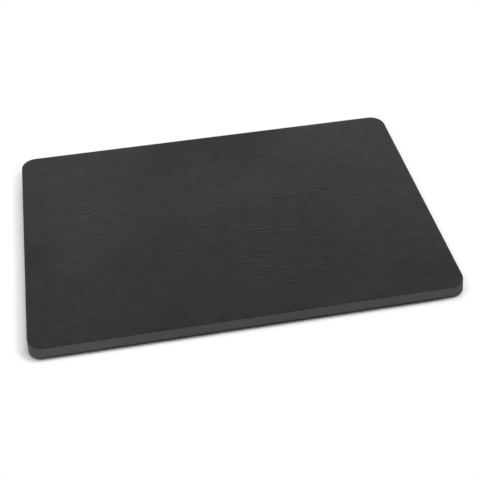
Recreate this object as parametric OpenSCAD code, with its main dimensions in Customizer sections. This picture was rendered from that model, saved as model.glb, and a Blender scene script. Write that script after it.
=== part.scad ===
// Slate serving board: one sawn slab of riven slate on four self-adhesive foam pads.
// Millimetres. +X runs along the length, +Y away from the front edge, +Z up.
// The origin is on the table, under the middle of the board.

/* [Slab] */
// Length of the slab
board_l = 300; // [200:5:420]
// Width of the slab
board_w = 200; // [150:5:300]
// Thickness of the slab between its two riven faces
slab_t = 9; // [5:0.5:14]
// Radius of the four corners, seen from above
corner_r = 10; // [3:0.5:25]
// Width of the 45 degree bevel that eases each sawn arris
arris = 0.5; // [0.2:0.1:1.5]

/* [Feet] */
// Diameter of a foam pad
pad_d = 16; // [8:0.5:24]
// Thickness of a foam pad
pad_t = 1; // [0.8:0.1:3]
// Bevel around the pad's lower rim
pad_bevel = 0.25; // [0.1:0.05:0.5]
// Distance from a pad's centre to each of the two edges beside it
pad_inset = 25; // [18:1:45]
// Thickness of the adhesive disc between a pad and the slab
tape_t = 0.2; // [0.1:0.05:0.4]
// How far the adhesive disc stays inside the pad's rim
tape_margin = 0.3; // [0.1:0.1:1]

/* [Hidden] */
$fn = 96;

// Heights above the table, from the pads up
tape_z = pad_t;
slab_z = tape_z + tape_t;

// Straight runs of the outline between the corner arcs
run_l = board_l - 2 * corner_r;
run_w = board_w - 2 * corner_r;

// Each corner of the board: its name, and its side along X and along Y
CORNERS = [
    ["front_left", -1, -1],
    ["front_right", 1, -1],
    ["back_left", -1, 1],
    ["back_right", 1, 1],
];

// Half section of the sawn edge, from the arc's centre line outwards.
// The straight sides and the corners all use it, so the bevels meet all the way round.
module edge_section() {
    polygon([
        [0, 0],
        [corner_r - arris, 0],
        [corner_r, arris],
        [corner_r, slab_t - arris],
        [corner_r - arris, slab_t],
        [0, slab_t],
    ]);
}

// A straight stretch of edge that faces +X, centred on the origin
module edge_side(run) {
    rotate([90, 0, 0])
        linear_extrude(run, center = true)
            edge_section();
}

// A quarter turn of edge, from +X to +Y
module edge_corner() {
    rotate_extrude(angle = 90)
        edge_section();
}

module slate_slab() {
    color([0.23, 0.23, 0.235])
        translate([0, 0, slab_z]) {
            translate([-run_l / 2, -run_w / 2, 0])
                cube([run_l, run_w, slab_t]);
            for (half_turn = [0, 180])
                rotate([0, 0, half_turn]) {
                    translate([run_l / 2, 0, 0])
                        edge_side(run_w);
                    translate([0, run_w / 2, 0])
                        rotate([0, 0, 90])
                            edge_side(run_l);
                    translate([run_l / 2, run_w / 2, 0])
                        edge_corner();
                    translate([-run_l / 2, run_w / 2, 0])
                        rotate([0, 0, 90])
                            edge_corner();
                }
        }
}

// Puts a foot's piece under its corner of the board
module at_corner(corner) {
    translate([
        corner[1] * (board_l / 2 - pad_inset),
        corner[2] * (board_w / 2 - pad_inset),
        0,
    ])
        children();
}

// Double-sided adhesive that holds one pad on the slab's underside
module adhesive_disc(corner) {
    color([0.80, 0.79, 0.74])
        at_corner(corner)
            translate([0, 0, tape_z])
                cylinder(h = tape_t, d = pad_d - 2 * tape_margin);
}

// Die-cut foam pad that keeps the stone off the table
module foam_pad(corner) {
    color([0.09, 0.09, 0.095])
        at_corner(corner)
            rotate_extrude()
                polygon([
                    [0, 0],
                    [pad_d / 2 - pad_bevel, 0],
                    [pad_d / 2, pad_bevel],
                    [pad_d / 2, pad_t],
                    [0, pad_t],
                ]);
}

slate_slab();
for (corner = CORNERS) {
    adhesive_disc(corner);
    foam_pad(corner);
}
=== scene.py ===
# Slate serving board: a riven slab on four stuck-on foam pads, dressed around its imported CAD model.
# Metres throughout, in the CAD's frame: +X along the length, +Y away from the front edge, +Z up.
import math

import bpy
import numpy as np
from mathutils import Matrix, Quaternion, Vector


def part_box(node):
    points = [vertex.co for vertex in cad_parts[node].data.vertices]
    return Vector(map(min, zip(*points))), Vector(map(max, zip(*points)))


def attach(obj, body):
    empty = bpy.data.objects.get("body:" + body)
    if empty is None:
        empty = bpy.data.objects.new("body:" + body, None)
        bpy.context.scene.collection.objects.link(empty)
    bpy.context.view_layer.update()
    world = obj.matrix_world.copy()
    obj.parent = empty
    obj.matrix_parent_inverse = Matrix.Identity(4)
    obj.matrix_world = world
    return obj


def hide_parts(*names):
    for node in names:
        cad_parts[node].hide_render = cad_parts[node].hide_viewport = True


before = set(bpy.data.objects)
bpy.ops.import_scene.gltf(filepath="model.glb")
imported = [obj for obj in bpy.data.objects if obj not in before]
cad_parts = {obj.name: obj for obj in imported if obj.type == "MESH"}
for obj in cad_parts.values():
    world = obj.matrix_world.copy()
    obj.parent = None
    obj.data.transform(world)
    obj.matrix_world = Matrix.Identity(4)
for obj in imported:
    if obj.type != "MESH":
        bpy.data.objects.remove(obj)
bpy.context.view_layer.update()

MM = 0.001
SEED = 41

# Sizes read from the CAD slab
slab_low, slab_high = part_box("slate_slab")
half_length = slab_high.x
half_width = slab_high.y
PAD_CORNERS = ("front_left", "front_right", "back_left", "back_right")

# Camera: the photograph's view, aimed at a point of the serving face
CAMERA_AZIMUTH = math.radians(-9.453)
CAMERA_ELEVATION = math.radians(43.995)
CAMERA_ROLL = math.radians(-1.286)
CAMERA_DISTANCE = 0.64862
CAMERA_AIM_X = -0.00464
CAMERA_AIM_Y = -0.02343
CAMERA_SHIFT_X = 0.02797
FIELD_OF_VIEW = math.radians(30.0452)
SENSOR_WIDTH_MM = 36.0
CAMERA_CLIP = (0.01, 20.0)

# Studio light. A level of 1 lights a level surface so that its colour renders as written
SOFTBOX_PLACE = (0.49, 0.12, 1.2)
SOFTBOX_SIZE = (1.66, 0.32)
SOFTBOX_POWER = 18.5
ROOM_LEVEL = 0.50
ROOM_FADE = (math.radians(45), math.radians(75))
CEILING_LEVEL = 0.2
WALL_TOP = math.radians(18)
WALL_FADE_TOP = math.radians(66)
FRONT_FILL_LEVEL = 0.56
FRONT_FILL_SPREAD = math.radians(4)
FRONT_FILL_AZIMUTH = math.radians(-10)
FRONT_FILL_ELEVATION = math.radians(2)
FLOOR_CARD = 0.8
FLOOR_HALF_SIDE = 4.0

# How the camera sees the floor: its level falls from the left to the right, which keeps the shadow even
# along the front, and it turns white a little way outside the slab's outline. X and distances in metres
FLOOR_SEEN = (1.0, 0.79)
FLOOR_SEEN_TURN = (-165 * MM, 100 * MM)
SHADOW_SHIFT = (-0.9 * MM, 4.4 * MM)
SHADOW_REACH = (5.5 * MM, 9.75 * MM)
# Where the shadow pales towards an end of the board: axis, start, end and share of white there.
# It does so only outside the slab, from just under its rim
PALES_FROM = (-1.2 * MM, 1.0 * MM)
SHADOW_PALES = [
    ("X", -100 * MM, -165 * MM, 0.13),
    ("X", 115 * MM, 170 * MM, 0.45),
    ("Y", 63 * MM, 89 * MM, 0.28),
]

# Grid of the slab's mesh. Even counts, because the underside takes every second row and column
COLUMNS_ON_STRAIGHT = 196
COLUMNS_ON_CORNER = 8
ROWS = 336
WALL_RINGS = 4
ARRIS_STEPS = (0.35, 0.7, 1.0)
LOWER_ARRIS_STEPS = (0.0, 0.3, 0.65)
RIVEN, SAWN = 0, 1

# The hand-ground edge: how far its top lies inside its foot, and how its corners differ from the CAD's
EDGE_DRAFT = 0.3 * MM
CORNER_WIDER_ABOVE = 1.0 * MM
CORNER_TIGHTER_BELOW = 1.5 * MM
SAW_STREAK_DEPTH = 0.02 * MM
SAW_STREAKS = 10
SAW_STREAK_TURNS = (8, 90)

# Foam pads: bevel and waist of the side, unevenness of the cut, depth of the pits
PAD_SEGMENTS = 72
PAD_RINGS = 14
PAD_BEVEL = 0.25 * MM
PAD_WAIST = 0.12 * MM
PAD_WOBBLE = 0.08 * MM
PAD_PIT = 0.05 * MM
PAD_INNERMOST_SHARE = 0.08
PAD_TOP_SHARES = (0.9, 0.5, PAD_INNERMOST_SHARE)
# The bevel bulges at this share of its width and height, and the waist and the shoulder above it lie at
# these shares of the pad's thickness
PAD_BULGE_SHARES = (0.3, 0.4)
PAD_WAIST_SHARE = 0.55
PAD_SHOULDER_SHARE = 0.85
PAD_TOP_INSET_SHARE = 0.2
PAD_EVEN_SHARE = 1.2
# Lobes of the uneven cut around a pad
PAD_LOBES = (3, 7)
PAD_LOBE_SHARE = 0.25

# Riven relief. Swells and rolls: number of waves, shortest and longest, stretch along the board.
# Where the face drops towards the far side between the two slopes given for the painted highlight, it takes
# part of that highlight, and the face's rim lies RIM_DEPTH below the top
SWELL_DEPTH = 0.08 * MM
SWELLS = (14, 40 * MM, 120 * MM, 1.6)
ROLL_DEPTH = 0.008 * MM
ROLLS = (30, 5 * MM, 14 * MM, 2.5)
HIGHLIGHT_SLOPE = (0.04, 0.24)
RIM_DEPTH = 0.10 * MM
RIM_FADE = 5.0 * MM

# One ripple: a ridge with a trough on its far side, wavering and broken along its length.
# Widths are in millimetres and grow with the length, and the trough lies this many widths away
RIPPLE_HEIGHT = 0.22 * MM
RIPPLE_HALF_SHARE = 0.4
RIPPLE_WIDTH = 0.66
RIPPLE_WIDTH_GROWTH = 0.010
RIPPLE_WIDTH_SPREAD = (0.85, 1.2)
RIPPLE_BOW = (-0.05, 0.10)
TROUGH_SHARE = 0.42
TROUGH_PLACE = 1.8
WAVER = 0.35 * MM
WAVER_LENGTH = 1.2 * MM
BREAK_SHARE = 0.3
BREAK_LENGTH = 1.1 * MM

# Seeded ripples of a patch: spread about its middle, length in millimetres, turn in degrees, strength
PATCH_SPREAD = 0.6
PATCH_LENGTH = (2.0, 5.0)
PATCH_TURN = 5.0
PATCH_STRENGTH = (0.6, 1.5)

# Ripples of the underside: number, reach from the middle and length in millimetres, turn, strength.
# The face is level around each foot and riven further out
UNDER_COUNT = 220
UNDER_REACH = (145, 95)
UNDER_LENGTH = (6, 22)
UNDER_TURN = 6.0
UNDER_STRENGTH = (0.2, 0.7)
FOOT_LEVEL = 1 * MM
FOOT_FADE = 5 * MM

# Tones of the slate's materials
CLOUD_LIMIT = 1.5
CLOUD_GAIN = 0.3
CLOUD_NOISE_SPAN = (0.15, 0.85)
# Painted highlight: the lighter grey laid on the serving face where it drops towards the far side, facing
# the light from behind
PAINTED_HIGHLIGHT_GREY = (0.022, 0.022, 0.022)
SAWN_TINT = (0.079, 0.078, 0.086)

# The clearest ripples on the serving face, in millimetres from its centre:
# x, y, length, slope in degrees, strength
CLEAR_RIPPLES = [
    (-84, 62, 12.5, 20, 1.5),
    (-81, 66, 5, 18, 0.7),
    (-98, 28, 15, 20, 1.4),
    (-99, 32, 12, 15, 0.8),
    (-92, 9, 6, 0, 0.8),
    (-90, 4, 6, -1, 0.8),
    (-93, -3, 6, 10, 1.3),
    (-54, 18, 6, -1, 0.8),
    (-63, 4, 5, -15, 0.9),
    (-47, -9, 13, 0, 1.0),
    (-60, -15, 6, -5, 0.8),
    (-43, -26, 16, -8, 0.9),
    (-6, 30, 6, 0, 1.2),
    (9, 23, 5, -5, 0.8),
    (-1, 4, 10, -8, 0.9),
    (10, -10, 17, -8, 1.6),
    (22, -17, 17, -3, 1.1),
    (19, -20, 10, -8, 1.0),
    (44, -17, 13, -10, 1.0),
    (40, 16, 8, -10, 1.3),
    (51, 24, 8, -9, 0.9),
    (56, 17, 8, -11, 1.3),
    (72, 22, 9, -11, 1.3),
    (80, 18, 5, -10, 1.0),
    (76, 14, 5, -10, 1.0),
    (3, -48, 11, -8, 1.0),
    (34, -46, 10, 10, 1.0),
    (59, -29, 6, -10, 1.4),
    (58, -60, 5, -5, 1.0),
    (63, -75, 5, -8, 1.1),
    (113, 75, 15, 12, 1.1),
    (107, 85, 8, -10, 0.8),
    (104, 44, 13, 10, 1.1),
    (118, 21, 8, 0, 0.8),
    (127, 20, 8, 12, 0.8),
    (102, 2, 9, -12, 1.3),
    (111, 2, 8, -2, 0.9),
    (128, 3, 9, 0, 0.9),
    (118, -58, 8, 0, 0.9),
    (99, -74, 8, 12, 0.9),
    (52, 68, 6, 10, 0.8),
    (18, 64, 8, -10, 0.8),
    (-60, -68, 8, -5, 0.9),
    (-60, -71, 6, -11, 0.8),
    (-72, 72, 2.5, -11, 1.2),
    (-46, 68, 5, -11, 1.0),
    (-15, 67, 6, -11, 0.7),
    (44, 63, 6, 15, 1.3),
    (53, 67, 5, 20, 1.3),
    (48, 76, 6, -11, 1.0),
    (69, 92, 5, -1, 0.8),
    (84, 88, 5, -11, 0.9),
    (84, 82, 5, -6, 0.9),
    (77, 74, 6, -11, 0.7),
    (135, 67, 4, 65, 1.1),
    (140, 66, 5, 75, 0.9),
    (108, 60, 7, -6, 0.8),
    (97, 56, 5, -11, 0.8),
    (78, 32, 7, -6, 0.8),
    (17, 49, 5, -1, 0.9),
    (1, 42, 7, -3, 1.1),
    (-13, 41, 6, -6, 0.8),
    (34, 41, 4, -11, 1.4),
    (-8, 20, 5, -1, 0.9),
    (8, 15, 4, -11, 1.2),
    (-12, 12, 5, -11, 1.0),
    (24, 22, 5, -1, 0.8),
    (31, 23, 4, -11, 0.8),
    (38, 23, 5, -11, 1.0),
    (138, 13, 6, 15, 0.9),
    (145, -1, 6, -6, 1.1),
    (141, -9, 7, -16, 1.2),
    (116, 7, 7, -6, 0.8),
    (26, 8, 7, -11, 0.9),
    (29, -1, 8, -6, 0.9),
    (21, -4, 5, -1, 0.8),
    (-45, 23, 6, -11, 1.0),
    (-52, 14, 6, -11, 1.0),
    (-67, -5, 4, -11, 0.8),
    (-46, 0, 5, -6, 0.8),
    (-53, -17, 6, -11, 0.9),
    (-118, -14, 6, -6, 0.8),
    (-9, -10, 4, 15, 1.0),
    (-18, -5, 4, -11, 0.8),
    (0, -18, 7, -6, 0.8),
    (-29, -19, 7, -6, 0.8),
    (34, -22, 9, -11, 1.1),
    (34, -26, 7, -11, 0.9),
    (45, -31, 5, -11, 1.0),
    (39, -33, 2.5, -11, 1.4),
    (-8, -34, 3, -11, 1.4),
    (6, -35, 4, -11, 0.9),
    (30, -35, 3, -11, 1.2),
    (-18, -27, 4, -11, 0.8),
    (17, -44, 6, -11, 1.4),
    (-52, -51, 5, -11, 1.0),
    (-48, -47, 5, -11, 0.8),
    (-61, -50, 5, -11, 1.1),
    (-98, -47, 3, -11, 1.3),
    (-80, -59, 3, -11, 1.5),
    (-17, -78, 4, -11, 0.9),
    (8, -73, 4, -11, 1.0),
    (8, -77, 5, -11, 0.8),
    (14, -61, 6, -6, 0.9),
    (20, -56, 5, -6, 0.9),
    (33, -65, 6, -11, 1.0),
    (32, -73, 9, -11, 1.0),
    (53, -70, 6, -11, 0.9),
    (67, -84, 4, -16, 1.4),
    (82, -63, 5, -11, 0.8),
    (129, -52, 5, -11, 1.0),
    (127, -39, 5, -6, 1.0),
    (100, -41, 5, -11, 0.9),
    (84, -9, 5, -16, 1.1),
    (110, -17, 7, -11, 0.8),
    (-40, -92, 4, -20, 1.2),
    (-34, -89, 5, -1, 0.8),
    (-119, 38, 6, -1, 0.7),
    (-121, 24, 5, -6, 0.8),
]

# Patches of small ripples between them, in the same millimetres:
# x, y, half length, half width, number of ripples, slope in degrees, strength
RIPPLE_PATCHES = [
    (-84, 61, 8, 4, 3, 14, 0.8),
    (-98, 27, 11, 9, 8, 17, 0.8),
    (-94, 4, 11, 9, 7, 14, 0.7),
    (-50, 18, 11, 9, 7, -4, 0.7),
    (-46, -16, 14, 14, 10, -13, 0.7),
    (-2, 26, 16, 14, 14, -6, 0.7),
    (20, 20, 26, 18, 18, -12, 0.6),
    (16, -14, 30, 14, 20, -15, 0.7),
    (40, -20, 26, 12, 12, -16, 0.6),
    (70, 20, 16, 9, 8, -17, 0.6),
    (28, -46, 28, 14, 18, -13, 0.7),
    (44, 66, 14, 12, 8, -2, 0.6),
    (112, 72, 14, 20, 12, 1, 0.6),
    (112, 4, 24, 14, 16, -7, 0.6),
    (82, -6, 10, 10, 6, -22, 0.5),
    (108, -46, 34, 22, 26, -4, 0.5),
    (-56, -66, 14, 24, 16, -8, 0.6),
    (10, -72, 22, 16, 12, -14, 0.6),
    (60, -66, 12, 16, 10, -16, 0.7),
    (-104, -26, 20, 16, 8, -4, 0.4),
    (-112, -66, 30, 26, 12, -6, 0.4),
    (0, 0, 140, 92, 160, -10, 0.3),
]

# Lighter and darker clouds on the serving face: x, y, half length, half width in millimetres, tone
CLOUDS = [
    (-100, 20, 40, 80, 0.9),
    (-95, 0, 16, 36, 0.5),
    (-120, -80, 40, 30, 0.8),
    (96, 80, 40, 24, 0.6),
    (20, 24, 34, 18, 0.6),
    (-36, 78, 20, 26, -0.8),
    (24, 80, 34, 26, -1.0),
    (74, -6, 34, 26, -0.6),
    (80, -44, 60, 22, -0.5),
    (20, -30, 26, 14, -0.4),
    (-144, -12, 12, 18, -1.2),
    (-14, -74, 11, 10, -0.8),
    (58, -78, 14, 14, -0.8),
    (134, -84, 24, 15, -1.4),
    (-50, -86, 12, 12, -0.6),
    (32, -90, 24, 10, -0.6),
    (110, 20, 14, 8, -0.4),
    (8, 94, 60, 14, -0.8),
    (-125, -5, 32, 110, 0.5),
    (-22, 10, 18, 18, 0.6),
    (-46, 66, 14, 10, -0.5),
    (95, -5, 14, 30, 0.3),
    (138, 0, 8, 10, 1.0),
    (-34, -78, 24, 22, 0.45),
    (-24, -44, 12, 10, 0.3),
    (22, -66, 12, 10, -0.4),
    (24, 62, 14, 14, -0.5),
    (46, 92, 14, 10, -0.5),
    (-93, 42, 12, 16, 0.5),
    (-138, -22, 10, 10, -0.5),
    (82, -90, 18, 8, -0.4),
]

# Patches of other tone along the sawn edge, and in the last row a painted shade at the near right corner:
# x, y and half length in millimetres, then red, green, blue gain
EDGE_TONE_AND_SHADE = [
    (-145, -100, 12, (1.08, 1.08, 1.08)),
    (-118, -100, 36, (1.28, 1.28, 1.28)),
    (-104, -100, 9, (1.03, 1.03, 1.12)),
    (-62, -100, 16, (1.06, 1.06, 1.06)),
    (-14, -100, 20, (1.06, 1.06, 1.06)),
    (-14, -100, 6, (0.99, 0.99, 1.07)),
    (28, -100, 16, (0.94, 0.94, 0.94)),
    (56, -100, 6, (0.99, 0.99, 1.08)),
    (63, -100, 14, (1.06, 1.06, 1.06)),
    (118, -100, 18, (1.05, 1.05, 1.05)),
    (138, -100, 7, (1.08, 0.97, 0.97)),
    # Painted shade: the near right corner of the edge, turned away from the front light, made much darker
    (151, -94, 7, (0.38, 0.36, 0.36)),
]

# Small chips out of the front arris: x, radius and depth in millimetres. The edge recedes there by
# CHIP_PULL_IN of the depth
CHIP_PULL_IN = 0.4
FRONT_CHIPS = [
    (-98, 1.6, 0.55),
    (-62, 2.0, 0.60),
    (-21, 2.8, 0.50),
    (-3, 1.4, 0.55),
    (22, 1.2, 0.40),
    (48, 1.6, 0.40),
    (88, 2.0, 0.55),
    (126, 2.4, 0.50),
]


def smooth(edge_0, edge_1, value):
    """0 below edge_0, 1 above edge_1 and a smooth step between them."""
    t = np.clip((value - edge_0) / (edge_1 - edge_0), 0.0, 1.0)
    return t * t * (3.0 - 2.0 * t)


# Outline of the slab


def corner_and_arris():
    """Corner radius and width of the arris bevel, read from the CAD slab's end face."""
    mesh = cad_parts["slate_slab"].data
    points = np.array([v.co for v in mesh.vertices])
    on_end = points[points[:, 0] > half_length - 0.01 * MM]
    return half_width - on_end[:, 1].max(), slab_high.z - on_end[:, 2].max()


corner_radius, arris = corner_and_arris()
radius_above = corner_radius + CORNER_WIDER_ABOVE
radius_below = corner_radius - CORNER_TIGHTER_BELOW


def columns(centre):
    """Corner angle and straight position of each grid column, from -X to +X.
    centre is the distance of the corner arcs' centres from the CAD outline."""
    reach = half_length - centre
    turn = np.linspace(0.0, math.pi / 2, COLUMNS_ON_CORNER + 1)[1:]
    straight = np.linspace(-reach, reach, COLUMNS_ON_STRAIGHT + 1)
    angle = np.concatenate([-turn[::-1], np.zeros(len(straight)), turn])
    ends = np.full(COLUMNS_ON_CORNER, reach)
    return angle, np.concatenate([-ends, straight, ends])


def rim(centre):
    """Anchor and outward normal of each point of the outline, counter-clockwise from the front left."""
    angle, across = columns(centre)
    rows = np.linspace(-1.0, 1.0, ROWS + 1)[1:-1] * (half_width - centre)
    low = -(half_width - centre)
    front = np.stack([across, np.full(len(across), low), np.sin(angle), -np.cos(angle)], 1)
    back = front[::-1] * [1, -1, 1, -1]
    reach = half_length - centre
    right = np.stack([np.full(len(rows), reach), rows, np.ones(len(rows)), np.zeros(len(rows))], 1)
    left = right[::-1] * [-1, 1, -1, 1]
    loop = np.concatenate([front, right, back, left])
    return loop[:, :2], loop[:, 2:]


def grid(centre, radius):
    """x and y of every grid point of a face whose corner arcs have this radius about their centres."""
    angle, across = columns(centre)
    x = across + radius * np.sin(angle)
    half = half_width - centre + radius * np.cos(angle)
    v = np.linspace(-1.0, 1.0, ROWS + 1)
    return np.repeat(x[:, None], ROWS + 1, 1), half[:, None] * v[None, :]


def rim_order(count_x, count_y):
    """Indices into a count_x by count_y grid of its rim, in the order of rim()."""
    index = np.arange(count_x * count_y).reshape(count_x, count_y)
    return np.concatenate([index[:, 0], index[-1, 1:-1], index[::-1, -1], index[0, -2:0:-1]])


# Riven relief


def waves(x, y, rng, count, shortest, longest, stretch):
    """Seeded sum of sine waves, about -1 to 1, stretched along X."""
    total = np.zeros_like(x)
    for _ in range(count):
        length = rng.uniform(shortest, longest)
        heading = rng.uniform(0.0, math.pi)
        phase = rng.uniform(0.0, 2.0 * math.pi)
        along = x * math.cos(heading) / stretch + y * math.sin(heading)
        total += np.sin(2.0 * math.pi * along / length + phase)
    return total / math.sqrt(2.0 * count)


def ripple(x, y, centre, length, width, slope, bow, phase):
    """Height, up to 1, of a wavering ridge with a low trough along its far side. length is half."""
    dx = x - centre[0]
    dy = y - centre[1]
    along = dx * math.cos(slope) + dy * math.sin(slope)
    across = dy * math.cos(slope) - dx * math.sin(slope) + bow * along * along / length
    across = across + WAVER * np.sin(along / WAVER_LENGTH + phase)
    crest = np.exp(-((across / width) ** 4))
    trough = np.exp(-((across / width - TROUGH_PLACE) ** 2))
    broken = 1.0 - BREAK_SHARE + BREAK_SHARE * np.sin(along / BREAK_LENGTH + 2.0 * phase)
    return broken * np.exp(-((along / length) ** 4)) * (crest - TROUGH_SHARE * trough)


def add_ripple(ridges, x, y, rng, place, length, slope, strength):
    """Adds one ripple to the ridges, with a bow and width of its own. place and length are millimetres."""
    centre = (place[0] * MM, place[1] * MM)
    half = RIPPLE_HALF_SHARE * length * MM
    width = (RIPPLE_WIDTH + RIPPLE_WIDTH_GROWTH * length) * rng.uniform(*RIPPLE_WIDTH_SPREAD) * MM
    bow = rng.uniform(*RIPPLE_BOW)
    phase = rng.uniform(0.0, 2.0 * math.pi)
    lean = math.radians(slope)
    reach = 2 * half + 4 * width
    near = (abs(x - centre[0]) < reach) & (abs(y - centre[1]) < reach)
    ridges[near] += strength * ripple(x[near], y[near], centre, half, width, lean, bow, phase)


def scatter_ripples(ridges, x, y, rng, patches):
    """Adds the seeded ripples of the patches to the ridges."""
    for cx, cy, half_x, half_y, count, slope, strength in patches:
        for _ in range(count):
            place_x = cx + PATCH_SPREAD * half_x * rng.normal()
            place_y = cy + PATCH_SPREAD * half_y * rng.normal()
            length = rng.uniform(*PATCH_LENGTH)
            lean = slope + PATCH_TURN * rng.normal()
            level = strength * rng.uniform(*PATCH_STRENGTH)
            add_ripple(ridges, x, y, rng, (place_x, place_y), length, lean, level)


def serving_relief(x, y):
    """Depth of the riven serving face below the slab's top: even at the rim, never negative."""
    rng = np.random.default_rng(SEED)
    depth = SWELL_DEPTH * (1.0 - waves(x, y, rng, *SWELLS))
    depth += ROLL_DEPTH * (1.0 - waves(x, y, rng, *ROLLS))
    ridges = np.zeros_like(x)
    for cx, cy, length, slope, strength in CLEAR_RIPPLES:
        add_ripple(ridges, x, y, rng, (cx, cy), length, slope, strength)
    scatter_ripples(ridges, x, y, rng, RIPPLE_PATCHES)
    depth -= RIPPLE_HEIGHT * ridges
    inside = np.minimum(half_length - abs(x), half_width - abs(y))
    depth = (depth - depth.mean()) * smooth(arris, RIM_FADE, inside)
    return np.maximum(depth + RIM_DEPTH, 0.0) + chipping(x, y)


def chipping(x, y):
    """Depth of the chips along the upper arris of the front edge."""
    depth = np.zeros_like(x)
    for place, radius, deepest in FRONT_CHIPS:
        away = ((x - place * MM) ** 2 + (y + half_width) ** 2) / (radius * MM) ** 2
        depth += deepest * MM * np.exp(-away)
    return depth


def under_relief(x, y):
    """Height of the riven underside above the slab's bottom, none at the rim and under the feet."""
    rng = np.random.default_rng(SEED + 1)
    height = SWELL_DEPTH * (1.0 - waves(x, y, rng, *SWELLS))
    ridges = np.zeros_like(x)
    reach_x, reach_y = UNDER_REACH
    for _ in range(UNDER_COUNT):
        place = (rng.uniform(-reach_x, reach_x), rng.uniform(-reach_y, reach_y))
        length = rng.uniform(*UNDER_LENGTH)
        lean = UNDER_TURN * rng.normal()
        add_ripple(ridges, x, y, rng, place, length, lean, rng.uniform(*UNDER_STRENGTH))
    height += RIPPLE_HEIGHT * ridges
    height -= height.min()
    for corner in PAD_CORNERS:
        low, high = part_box("adhesive_disc_" + corner)
        centre = (low + high) / 2
        radius = (high.x - low.x) / 2
        away = np.hypot(x - centre.x, y - centre.y)
        height *= smooth(radius + FOOT_LEVEL, radius + FOOT_FADE, away)
    inside = np.minimum(half_length - abs(x), half_width - abs(y))
    return height * smooth(arris, RIM_FADE, inside)


def far_slope_highlight(x, y, depth):
    """Share of a painted highlight: 1 where the riven face drops steeply towards the far side and so faces
    the light from behind, else 0.
    """
    slope = np.gradient(depth, axis=1) / np.gradient(y, axis=1)
    return smooth(*HIGHLIGHT_SLOPE, slope)


def edge_gain(x, y):
    """Red, green, blue and opacity gain of the sawn edge's colour at points in plan: patches of tone and a
    painted shade at the near right corner.
    """
    gain = np.ones((len(x), 4))
    for cx, cy, half, colour in EDGE_TONE_AND_SHADE:
        share = np.exp(-((x / MM - cx) ** 2 + (y / MM - cy) ** 2) / half ** 2)
        gain[:, :3] *= 1.0 + (np.array(colour) - 1.0) * share[:, None]
    return gain


def cloud_tone(x, y):
    """Tone of the serving face from the clouds, at most CLOUD_LIMIT either way."""
    tone = np.zeros_like(x)
    for cx, cy, half_x, half_y, strength in CLOUDS:
        away = ((x / MM - cx) / half_x) ** 2 + ((y / MM - cy) / half_y) ** 2
        tone += strength * np.exp(-away)
    return np.clip(tone, -CLOUD_LIMIT, CLOUD_LIMIT)


# Mesh of the slab


def edge_profile():
    """Rings of the edge from the serving face down: share of the way down, bevel, height."""
    top, bottom = slab_high.z, slab_low.z
    rings = []
    for step in ARRIS_STEPS:
        turn = step * math.pi / 2
        drop = RIM_DEPTH + (arris - RIM_DEPTH) * (1.0 - math.cos(turn))
        rings.append((0.0, arris * (1.0 - math.sin(turn)), top - drop))
    wall_top, wall_bottom = top - arris, bottom + arris
    for step in range(1, WALL_RINGS):
        share = step / WALL_RINGS
        rings.append((share, 0.0, wall_top + (wall_bottom - wall_top) * share))
    for step in LOWER_ARRIS_STEPS:
        turn = step * math.pi / 2
        rings.append((1.0, arris * (1.0 - math.cos(turn)), bottom + arris * (1.0 - math.sin(turn))))
    return rings


def sawn_wobble(count, level):
    """How far each rim point of one ring lies inside the sawn plane: faint streaks along the edge."""
    rng = np.random.default_rng(SEED + 100 + level)
    place = np.linspace(0.0, 2.0 * math.pi, count, endpoint=False)
    total = np.zeros(count)
    for _ in range(SAW_STREAKS):
        total += np.sin(place * rng.integers(*SAW_STREAK_TURNS) + rng.uniform(0.0, 2.0 * math.pi))
    return SAW_STREAK_DEPTH * np.clip(1.0 + total / 4.0, 0.0, 2.0)


def edge_rings(first, loop):
    """Points of the rings down the edge, and the vertex indices of every ring from the face's rim on."""
    count = len(loop)
    points = []
    rings = [loop]
    for level, (share, bevel, height) in enumerate(edge_profile()):
        radius = radius_above + (radius_below - radius_above) * share
        anchors, normals = rim(EDGE_DRAFT * (1.0 - share) + radius)
        outward = radius - bevel - sawn_wobble(count, level)
        flat = anchors + outward[:, None] * normals
        chipped = np.zeros(count)
        if level < len(ARRIS_STEPS):
            chipped = chipping(flat[:, 0], flat[:, 1])
            flat = flat - CHIP_PULL_IN * chipped[:, None] * normals
        points.append(np.column_stack([flat, height - chipped]))
        rings.append(first + level * count + np.arange(count))
    return points, rings


def band_faces(upper, lower):
    """Quads between two rings of the edge with the same number of points."""
    return np.stack([upper, lower, np.roll(lower, -1), np.roll(upper, -1)], 1).tolist()


def seam_faces(fine, coarse):
    """Triangles between the edge's lowest ring and the underside's rim, which has half as many points."""
    faces = []
    for k in range(len(coarse)):
        after = coarse[(k + 1) % len(coarse)]
        a, b, c = fine[2 * k], fine[2 * k + 1], fine[(2 * k + 2) % len(fine)]
        faces += [[a, coarse[k], b], [b, coarse[k], after], [b, after, c]]
    return faces


def underside(first):
    """Points of the riven underside, the shape of its grid and its faces."""
    low_x, low_y = grid(radius_below, radius_below - arris)
    x, y = low_x[::2, ::2], low_y[::2, ::2]
    points = np.stack([x, y, slab_low.z + under_relief(x, y)], 2).reshape(-1, 3)
    faces = [face[::-1] for face in grid_faces(first + np.arange(x.size).reshape(x.shape))]
    return points, x.shape, faces


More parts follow.
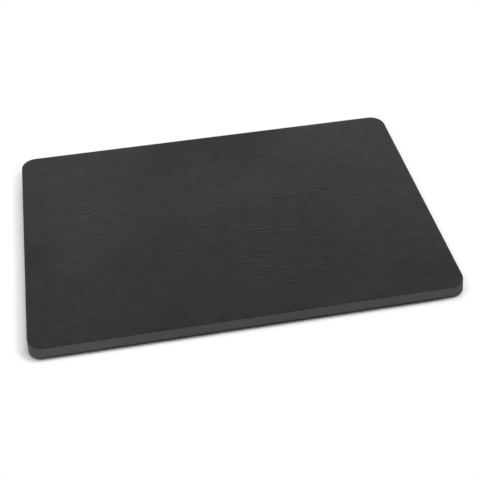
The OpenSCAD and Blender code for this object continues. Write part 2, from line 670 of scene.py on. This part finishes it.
def build_slab():
    """The slab as one closed mesh: riven serving face, eased arrises, sawn edge, riven underside.
    Gives its points, faces, each face's material and the share of painted highlight on each point of the
    serving face."""
    x, y = grid(EDGE_DRAFT + radius_above, radius_above - arris)
    depth = serving_relief(x, y)
    tops = np.stack([x, y, slab_high.z - depth], 2).reshape(-1, 3)
    edge, rings = edge_rings(len(tops), rim_order(*x.shape))
    first_under = len(tops) + sum(len(ring) for ring in edge)
    unders, under_shape, under_faces = underside(first_under)
    top_faces = grid_faces(np.arange(x.size).reshape(x.shape))
    bands = [band_faces(upper, lower) for upper, lower in zip(rings[:-1], rings[1:])]
    seam = seam_faces(rings[-1], first_under + rim_order(*under_shape))
    # The upper arris is riven like the face, apart from its lowest band
    riven_bands = len(ARRIS_STEPS) - 1
    faces = list(top_faces)
    kinds = [RIVEN] * len(top_faces)
    for level, band in enumerate(bands):
        faces += band
        kinds += [RIVEN if level < riven_bands else SAWN] * len(band)
    faces += seam + under_faces
    kinds += [SAWN] * len(seam) + [RIVEN] * len(under_faces)
    return np.concatenate([tops, *edge, unders]), faces, kinds, far_slope_highlight(x, y, depth).ravel()


def grid_faces(index):
    """Quads of a grid of vertex indices, facing up."""
    quads = np.stack([index[:-1, :-1], index[1:, :-1], index[1:, 1:], index[:-1, 1:]], 2)
    return quads.reshape(-1, 4).tolist()


def make_piece(name, points, faces):
    """A mesh object at the origin with smooth faces."""
    mesh = bpy.data.meshes.new(name)
    mesh.from_pydata([tuple(p) for p in points], [], faces)
    mesh.validate()
    mesh.shade_smooth()
    piece = bpy.data.objects.new(name, mesh)
    bpy.context.scene.collection.objects.link(piece)
    return piece


# Materials


class Nodes:
    """Short names for making and joining the nodes of one material."""

    def __init__(self, name):
        self.material = bpy.data.materials.new(name)
        self.material.use_nodes = True
        self.tree = self.material.node_tree
        self.shader = self.tree.nodes["Principled BSDF"]
        self.output = self.tree.nodes["Material Output"]

    @classmethod
    def of_tree(cls, tree):
        """The same names for a tree that is there already, such as the world's."""
        made = cls.__new__(cls)
        made.tree = tree
        return made

    def add(self, kind, **values):
        """A new node of this kind with these properties."""
        node = self.tree.nodes.new(kind)
        for key, value in values.items():
            setattr(node, key, value)
        return node

    def join(self, source, target):
        """Links an output to an input."""
        self.tree.links.new(source, target)

    def place(self, scale):
        """Object coordinates, scaled per axis."""
        where = self.add("ShaderNodeTexCoord")
        mapping = self.add("ShaderNodeMapping")
        mapping.inputs["Scale"].default_value = scale
        self.join(where.outputs["Object"], mapping.inputs["Vector"])
        return mapping.outputs["Vector"]

    def noise(self, scale, detail=4.0, roughness=0.55):
        """Noise in object space: scale is per metre along X, Y and Z."""
        node = self.add("ShaderNodeTexNoise")
        node.inputs["Scale"].default_value = 1.0
        node.inputs["Detail"].default_value = detail
        node.inputs["Roughness"].default_value = roughness
        self.join(self.place(scale), node.inputs["Vector"])
        return node.outputs["Fac"]

    def ramp(self, source, stops):
        """Colour ramp through (position, grey or colour) stops."""
        node = self.add("ShaderNodeValToRGB")
        elements = node.color_ramp.elements
        while len(elements) < len(stops):
            elements.new(0.5)
        for element, (position, tone) in zip(elements, stops):
            element.position = position
            colour = (tone, tone, tone) if isinstance(tone, float) else tone
            element.color = (*colour, 1.0)
        self.join(source, node.inputs["Fac"])
        return node.outputs["Color"]

    def maths(self, operation, *values):
        """One Math node. Each value is a number or a socket."""
        node = self.add("ShaderNodeMath", operation=operation)
        for socket, value in zip(node.inputs, values):
            if isinstance(value, (int, float)):
                socket.default_value = value
            else:
                self.join(value, socket)
        return node.outputs["Value"]

    def mix_numbers(self, factor, first, second):
        """Mix of two numbers or sockets by a socket."""
        way = self.maths("SUBTRACT", second, first)
        return self.maths("ADD", first, self.maths("MULTIPLY", factor, way))

    def step(self, source, low, high):
        """Smooth step from 0 at low to 1 at high."""
        node = self.add("ShaderNodeMapRange", interpolation_type="SMOOTHSTEP")
        node.inputs["From Min"].default_value = low
        node.inputs["From Max"].default_value = high
        self.join(source, node.inputs["Value"])
        return node.outputs["Result"]

    def camera_ray(self):
        """1 for rays from the camera, else 0."""
        return self.add("ShaderNodeLightPath").outputs["Is Camera Ray"]

    def mix(self, factor, first, second, blend="MIX"):
        """Mix of two colours by a number or a socket."""
        node = self.add("ShaderNodeMix", data_type="RGBA", blend_type=blend)
        for socket, value in zip((node.inputs[0], node.inputs[6], node.inputs[7]), (factor, first, second)):
            if isinstance(value, (int, float)):
                socket.default_value = value
            elif isinstance(value, tuple):
                socket.default_value = (*value, 1.0)
            else:
                self.join(value, socket)
        return node.outputs[2]

    def bump(self, height, strength, distance, under=None):
        """Bump from a height socket, laid over another bump."""
        node = self.add("ShaderNodeBump")
        node.inputs["Strength"].default_value = strength
        node.inputs["Distance"].default_value = distance
        self.join(height, node.inputs["Height"])
        if under is not None:
            self.join(under, node.inputs["Normal"])
        return node.outputs["Normal"]


def riven_slate():
    """Riven face: matt dark grey with soft clouds, faint grain along the length, fine tooth and a painted
    highlight, a lighter grey, on slopes that drop towards the far side.
    """
    n = Nodes("riven_slate")
    cloud = n.noise((16.0, 26.0, 26.0), detail=3.0)
    speck = n.noise((420.0, 900.0, 900.0), detail=3.0, roughness=0.7)
    grain = n.noise((60.0, 520.0, 520.0), detail=5.0, roughness=0.6)
    tone = n.add("ShaderNodeAttribute", attribute_name="cloud_tone").outputs["Fac"]
    level = n.mix_numbers(cloud, *CLOUD_NOISE_SPAN)
    clouded = n.maths("ADD", n.maths("MULTIPLY", tone, CLOUD_GAIN), level)
    base = n.ramp(clouded, [(0.0, 0.012), (1.0, 0.028)])
    mottle = n.noise((100.0, 110.0, 110.0), detail=5.0, roughness=0.6)
    mottled = n.mix(0.45, base, n.ramp(mottle, [(0.3, 0.3), (0.7, 0.7)]), "OVERLAY")
    # Painted highlight: a lighter grey in place of the mottled colour where the face drops towards the far
    # side
    ridge = n.add("ShaderNodeAttribute", attribute_name="far_slope_highlight").outputs["Fac"]
    highlighted_base = n.mix(ridge, mottled, PAINTED_HIGHLIGHT_GREY)
    streaked = n.mix(0.04, highlighted_base, n.ramp(grain, [(0.3, 0.36), (0.7, 0.64)]), "OVERLAY")
    colour = n.mix(0.12, streaked, n.ramp(speck, [(0.3, 0.35), (0.75, 0.68)]), "OVERLAY")
    n.join(colour, n.shader.inputs["Base Color"])
    rough = n.ramp(grain, [(0.3, 0.38), (0.7, 0.48)])
    n.join(rough, n.shader.inputs["Roughness"])
    n.shader.inputs["Specular IOR Level"].default_value = 0.35
    tooth = n.bump(speck, 0.15, 0.15 * MM)
    n.join(n.bump(grain, 0.06, 0.15 * MM, tooth), n.shader.inputs["Normal"])
    return n.material


def sawn_slate():
    """Sawn edge: lighter than the face, with fine bedding lines along it and faint saw marks."""
    n = Nodes("sawn_slate")
    beds = n.noise((9.0, 9.0, 1500.0), detail=5.0, roughness=0.65)
    dust = n.noise((500.0, 500.0, 500.0), detail=3.0)
    patch = n.noise((22.0, 22.0, 60.0), detail=2.0)
    base = n.ramp(beds, [(0.3, 0.068), (0.7, 0.090)])
    tinted = n.mix(n.maths("MULTIPLY", patch, 0.2), base, SAWN_TINT)
    dusted = n.mix(0.2, tinted, n.ramp(dust, [(0.3, 0.4), (0.7, 0.62)]), "OVERLAY")
    # The gain holds the edge's patches of tone and a painted shade at its near right corner
    gain = n.add("ShaderNodeAttribute", attribute_name="edge_gain").outputs["Color"]
    n.join(n.mix(1.0, dusted, gain, "MULTIPLY"), n.shader.inputs["Base Color"])
    n.join(n.ramp(dust, [(0.3, 0.62), (0.7, 0.78)]), n.shader.inputs["Roughness"])
    n.shader.inputs["Specular IOR Level"].default_value = 0.3
    saw = n.bump(beds, 0.4, 0.05 * MM)
    n.join(n.bump(dust, 0.3, 0.08 * MM, saw), n.shader.inputs["Normal"])
    return n.material


def foam():
    """Closed-cell foam of a pad: near black, dull, with fine cells."""
    n = Nodes("black_foam")
    cells = n.add("ShaderNodeTexVoronoi")
    cells.inputs["Scale"].default_value = 2600.0
    n.join(n.place((1.0, 1.0, 1.0)), cells.inputs["Vector"])
    patch = n.noise((120.0, 120.0, 120.0))
    base = n.ramp(patch, [(0.3, (0.010, 0.010, 0.011)), (0.7, (0.016, 0.016, 0.017))])
    colour = n.mix(0.3, base, n.ramp(cells.outputs["Distance"], [(0.0, 0.7), (0.6, 0.4)]), "OVERLAY")
    n.join(colour, n.shader.inputs["Base Color"])
    n.join(n.ramp(patch, [(0.3, 0.82), (0.7, 0.95)]), n.shader.inputs["Roughness"])
    n.join(n.bump(cells.outputs["Distance"], 0.5, 0.1 * MM), n.shader.inputs["Normal"])
    return n.material


def adhesive():
    """Acrylic adhesive of a disc: yellowish white, smooth, with faint flow marks."""
    n = Nodes("acrylic_adhesive")
    flow = n.noise((300.0, 300.0, 300.0))
    base = n.ramp(flow, [(0.3, (0.58, 0.56, 0.49)), (0.7, (0.65, 0.63, 0.56))])
    n.join(base, n.shader.inputs["Base Color"])
    n.join(n.ramp(flow, [(0.3, 0.35), (0.7, 0.5)]), n.shader.inputs["Roughness"])
    n.join(n.bump(flow, 0.2, 0.05 * MM), n.shader.inputs["Normal"])
    return n.material


# The board's pieces


def dress_slab():
    """Replaces the plain CAD slab by the riven one."""
    points, faces, kinds, ridges = build_slab()
    piece = make_piece("riven_slab", points, faces)
    piece.data.materials.append(riven_slate())
    piece.data.materials.append(sawn_slate())
    piece.data.polygons.foreach_set("material_index", kinds)
    tone = piece.data.attributes.new("cloud_tone", "FLOAT", "POINT")
    tone.data.foreach_set("value", cloud_tone(points[:, 0], points[:, 1]))
    gain = piece.data.attributes.new("edge_gain", "FLOAT_COLOR", "POINT")
    gain.data.foreach_set("color", edge_gain(points[:, 0], points[:, 1]).ravel())
    # Share of painted highlight at each point of the serving face, none elsewhere
    highlight_layer = piece.data.attributes.new("far_slope_highlight", "FLOAT", "POINT")
    highlight_layer.data.foreach_set("value", np.concatenate([ridges, np.zeros(len(points) - len(ridges))]))
    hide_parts("slate_slab")
    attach(piece, "root")


def pad_profile(radius, thickness):
    """Rings of a foam pad from the middle of its resting face, up its side, to the middle of its top."""
    rim = radius - PAD_BEVEL
    rings = [(rim * share, 0.0) for share in np.linspace(PAD_INNERMOST_SHARE, 1.0, PAD_RINGS)]
    bulge_in, bulge_up = PAD_BULGE_SHARES
    rings += [(radius - bulge_in * PAD_BEVEL, bulge_up * PAD_BEVEL), (radius, PAD_BEVEL)]
    rings += [(radius - PAD_WAIST, PAD_WAIST_SHARE * thickness), (radius, PAD_SHOULDER_SHARE * thickness)]
    rings += [(radius - PAD_TOP_INSET_SHARE * PAD_WAIST, thickness)]
    rings += [(rim * share, thickness) for share in PAD_TOP_SHARES]
    return rings


def foam_pad(name, low, high, rng):
    """A die-cut foam pad with a waisted side and a pitted resting face, inside its CAD box."""
    radius = (high.x - low.x) / 2
    centre = ((low.x + high.x) / 2, (low.y + high.y) / 2)
    turn = np.linspace(0.0, 2.0 * math.pi, PAD_SEGMENTS, endpoint=False)
    cut = 0.5
    for lobes in PAD_LOBES:
        cut = cut + PAD_LOBE_SHARE * np.sin(lobes * turn + rng.uniform(0, 6))
    points = []
    for ring_radius, height in pad_profile(radius, high.z - low.z):
        reach = ring_radius - PAD_WOBBLE * cut * (ring_radius / radius) ** 4
        pits = rng.uniform(0.0, PAD_PIT, PAD_SEGMENTS) if height == 0.0 else np.zeros(PAD_SEGMENTS)
        # The outermost ring of the resting face has no pits, so that the rim stays even
        if ring_radius > radius - PAD_EVEN_SHARE * PAD_BEVEL:
            pits = np.zeros(PAD_SEGMENTS)
        ring = (centre[0] + reach * np.cos(turn), centre[1] + reach * np.sin(turn), low.z + height + pits)
        points.append(np.column_stack(ring))
    rings = np.arange(len(points) * PAD_SEGMENTS).reshape(-1, PAD_SEGMENTS)
    faces = []
    for inner, outer in zip(rings[:-1], rings[1:]):
        quads = [inner, np.roll(inner, -1), np.roll(outer, -1), outer]
        faces += np.stack(quads, 1)[:, ::-1].tolist()
    faces += [rings[0][::-1].tolist(), rings[-1].tolist()]
    return make_piece(name, np.concatenate(points), faces)


def dress_feet():
    """Dresses each foot: a cut foam pad in place of the plain one, and a material on the CAD disc."""
    pad_material, tape_material = foam(), adhesive()
    rng = np.random.default_rng(SEED + 2)
    for corner in PAD_CORNERS:
        low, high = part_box("foam_pad_" + corner)
        pad = foam_pad("cut_pad_" + corner, low, high, rng)
        pad.data.materials.append(pad_material)
        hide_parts("foam_pad_" + corner)
        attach(pad, "root")
        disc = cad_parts["adhesive_disc_" + corner].data
        disc.materials.clear()
        disc.materials.append(tape_material)


# Studio


def make_camera():
    """The photograph's camera: azimuth and elevation about the aim point, then a slight roll."""
    a, e = CAMERA_AZIMUTH, CAMERA_ELEVATION
    back = Vector((math.sin(a) * math.cos(e), -math.cos(a) * math.cos(e), math.sin(e)))
    data = bpy.data.cameras.new("camera")
    data.sensor_width = SENSOR_WIDTH_MM
    data.lens = data.sensor_width / 2 / math.tan(FIELD_OF_VIEW / 2)
    data.shift_x = CAMERA_SHIFT_X
    data.clip_start, data.clip_end = CAMERA_CLIP
    camera = bpy.data.objects.new("camera", data)
    camera.location = Vector((CAMERA_AIM_X, CAMERA_AIM_Y, slab_high.z)) + back * CAMERA_DISTANCE
    camera.rotation_mode = "QUATERNION"
    level = (-back).to_track_quat("-Z", "Y")
    camera.rotation_quaternion = level @ Quaternion((0.0, 0.0, 1.0), CAMERA_ROLL)
    bpy.context.scene.collection.objects.link(camera)
    bpy.context.scene.camera = camera


def seen(n):
    """1 for rays from the camera and for what gloss or glass shows, else 0."""
    path = n.add("ShaderNodeLightPath")
    gloss = n.maths("MAXIMUM", path.outputs["Is Camera Ray"], path.outputs["Is Glossy Ray"])
    return n.maths("MAXIMUM", gloss, path.outputs["Is Transmission Ray"])


def outline_distance(n, x, y, shift):
    """Distance outside the slab's outline shifted this far, less than 0 inside it."""
    squares = []
    for place, offset, half in ((x, shift[0], half_length), (y, shift[1], half_width)):
        off = n.maths("ABSOLUTE", n.maths("SUBTRACT", place, offset))
        beyond = n.maths("MAXIMUM", n.maths("SUBTRACT", off, half - corner_radius), 0.0)
        squares.append(n.maths("MULTIPLY", beyond, beyond))
    return n.maths("SUBTRACT", n.maths("SQRT", n.maths("ADD", *squares)), corner_radius)


def floor_whiteness(n, split):
    """How white the floor turns, 0 to 1, from the split X and Y of its place."""
    x, y = split.outputs["X"], split.outputs["Y"]
    whiteness = n.step(outline_distance(n, x, y, SHADOW_SHIFT), *SHADOW_REACH)
    outside = n.step(outline_distance(n, x, y, (0.0, 0.0)), *PALES_FROM)
    for axis, start, end, share in SHADOW_PALES:
        pale = n.maths("MULTIPLY", n.step(split.outputs[axis], start, end), share)
        whiteness = n.mix_numbers(n.maths("MULTIPLY", pale, outside), whiteness, 1.0)
    return whiteness


def make_floor():
    """White studio floor. It bounces light as pale card and looks white, but keeps the shadow."""
    n = Nodes("studio_floor")
    n.tree.nodes.remove(n.shader)
    card = n.add("ShaderNodeBsdfDiffuse")
    card.inputs["Color"].default_value = (FLOOR_CARD, FLOOR_CARD, FLOOR_CARD, 1.0)
    split = n.add("ShaderNodeSeparateXYZ")
    n.join(n.add("ShaderNodeTexCoord").outputs["Object"], split.inputs["Vector"])
    bright = n.add("ShaderNodeBsdfDiffuse")
    level = n.mix_numbers(n.step(split.outputs["X"], *FLOOR_SEEN_TURN), *FLOOR_SEEN)
    n.join(level, bright.inputs["Color"])
    white = n.add("ShaderNodeEmission")
    white.inputs["Strength"].default_value = 1.0
    near = n.add("ShaderNodeMixShader")
    n.join(floor_whiteness(n, split), near.inputs[0])
    n.join(bright.outputs[0], near.inputs[1])
    n.join(white.outputs[0], near.inputs[2])
    both = n.add("ShaderNodeMixShader")
    n.join(seen(n), both.inputs[0])
    n.join(card.outputs[0], both.inputs[1])
    n.join(near.outputs[0], both.inputs[2])
    n.join(both.outputs[0], n.output.inputs["Surface"])
    side = FLOOR_HALF_SIDE
    corners = [(-side, -side, 0), (side, -side, 0), (side, side, 0), (-side, side, 0)]
    floor = make_piece("floor", corners, [[0, 1, 2, 3]])
    floor.data.materials.append(n.material)


def make_world():
    """A room lit from above. The camera sees white, and gloss sees white walls under a dim ceiling."""
    world = bpy.data.worlds.new("studio")
    world.use_nodes = True
    bpy.context.scene.world = world
    n = Nodes.of_tree(world.node_tree)
    direction = n.add("ShaderNodeTexCoord").outputs["Generated"]
    split = n.add("ShaderNodeSeparateXYZ")
    n.join(direction, split.inputs["Vector"])
    walls = n.step(split.outputs["Z"], math.sin(WALL_FADE_TOP), math.sin(WALL_TOP))
    shown = n.maths("MAXIMUM", n.mix_numbers(walls, CEILING_LEVEL, 1.0), n.camera_ray())
    above = n.step(split.outputs["Z"], math.sin(ROOM_FADE[0]), math.sin(ROOM_FADE[1]))
    room = n.maths("MULTIPLY", above, ROOM_LEVEL)
    level = n.mix_numbers(seen(n), room, shown)
    n.join(level, n.tree.nodes["Background"].inputs["Strength"])
    n.tree.nodes["Background"].inputs["Color"].default_value = (1.0, 1.0, 1.0, 1.0)


def make_key():
    """Wide softbox overhead, a little to the right and behind."""
    data = bpy.data.lights.new("softbox", "AREA")
    data.shape = "RECTANGLE"
    data.size, data.size_y = SOFTBOX_SIZE
    data.energy = SOFTBOX_POWER
    lamp = bpy.data.objects.new("softbox", data)
    lamp.location = SOFTBOX_PLACE
    lamp.visible_glossy = False
    bpy.context.scene.collection.objects.link(lamp)


def make_front_fill():
    """Low soft light from the front, which reaches the sawn edge and hardly the floor."""
    data = bpy.data.lights.new("front_fill", "SUN")
    data.energy = FRONT_FILL_LEVEL
    data.angle = FRONT_FILL_SPREAD
    lamp = bpy.data.objects.new("front_fill", data)
    a, e = FRONT_FILL_AZIMUTH, FRONT_FILL_ELEVATION
    toward = Vector((math.sin(a) * math.cos(e), -math.cos(a) * math.cos(e), math.sin(e)))
    lamp.rotation_mode = "QUATERNION"
    lamp.rotation_quaternion = (-toward).to_track_quat("-Z", "Y")
    lamp.visible_glossy = False
    bpy.context.scene.collection.objects.link(lamp)


dress_slab()
dress_feet()
make_camera()
make_floor()
make_world()
make_key()
make_front_fill()
bpy.context.scene.view_settings.view_transform = "Standard"
